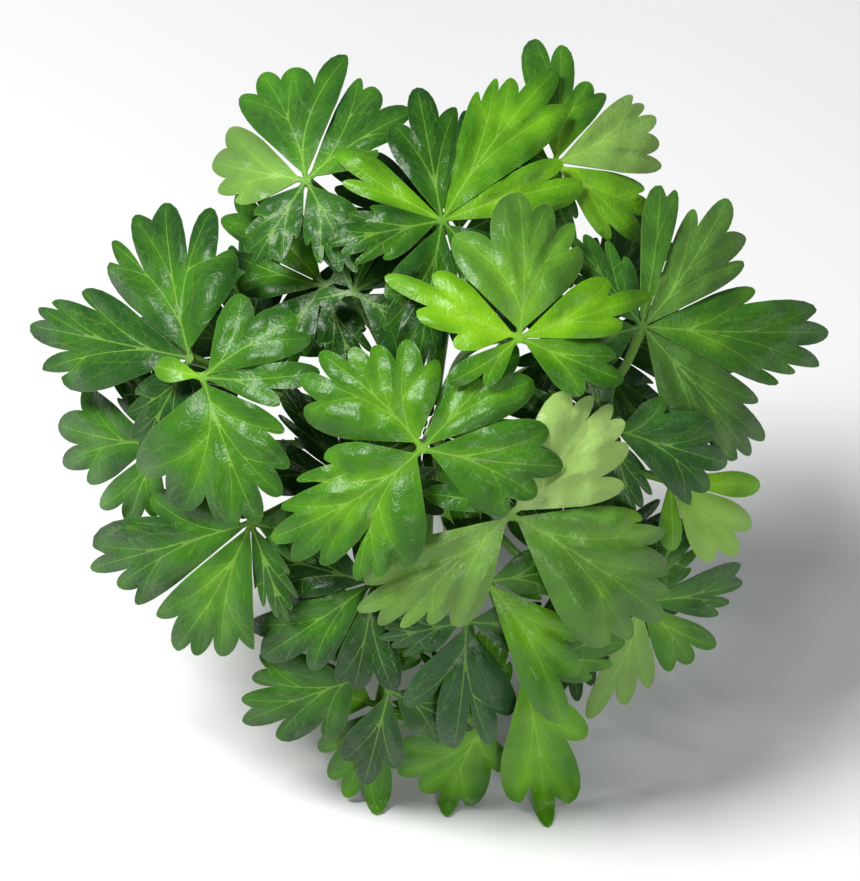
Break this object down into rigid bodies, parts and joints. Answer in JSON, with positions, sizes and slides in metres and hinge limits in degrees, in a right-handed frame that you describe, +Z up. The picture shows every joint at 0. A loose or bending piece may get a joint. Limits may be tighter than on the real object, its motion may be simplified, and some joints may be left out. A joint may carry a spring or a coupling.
{
  "type": "parsley bunch",
  "caption": "Fresh flat-leaf parsley bunch, lobed green leaves fanning out from banded stalks, laid down on its side.",
  "frame": {"origin": "bottom centre of the bounding box, on the surface the bunch lies on", "axes": "+X across the crown to the right as its face is looked at, +Y from the crown towards the cut ends, +Z up"},
  "size_m": [0.215, 0.1622, 0.1574],
  "materials": {
    "leaf": "satin",
    "stalk": "satin",
    "band": "matte"
  },
  "bodies": {
    "root": {"tie_band": "band", "leaf_01": "leaf", "leaf_02": "leaf", "leaf_03": "leaf", "leaf_04": "leaf", "leaf_05": "leaf", "leaf_06": "leaf", "leaf_07": "leaf", "leaf_08": "leaf", "leaf_09": "leaf", "leaf_10": "leaf", "leaf_11": "leaf", "leaf_12": "leaf", "leaf_13": "leaf", "leaf_14": "leaf", "leaf_15": "leaf", "leaf_16": "leaf", "leaf_17": "leaf", "leaf_18": "leaf", "leaf_19": "leaf", "leaf_20": "leaf", "leaf_21": "leaf", "leaf_22": "leaf", "leaf_23": "leaf", "leaf_24": "leaf", "leaf_25": "leaf", "leaf_26": "leaf", "leaf_27": "leaf", "leaf_28": "leaf", "leaf_29": "leaf", "stalk_01": "stalk", "stalk_02": "stalk", "stalk_03": "stalk", "stalk_04": "stalk", "stalk_05": "stalk", "stalk_06": "stalk", "stalk_07": "stalk", "stalk_08": "stalk", "stalk_09": "stalk", "stalk_10": "stalk", "stalk_11": "stalk", "stalk_12": "stalk", "stalk_13": "stalk", "stalk_14": "stalk", "stalk_15": "stalk", "stalk_16": "stalk", "stalk_17": "stalk", "stalk_18": "stalk", "stalk_19": "stalk", "stalk_20": "stalk", "stalk_21": "stalk", "stalk_22": "stalk", "stalk_23": "stalk", "stalk_24": "stalk", "stalk_25": "stalk", "stalk_26": "stalk", "stalk_27": "stalk", "stalk_28": "stalk", "stalk_29": "stalk"}
  },
  "joints": []
}
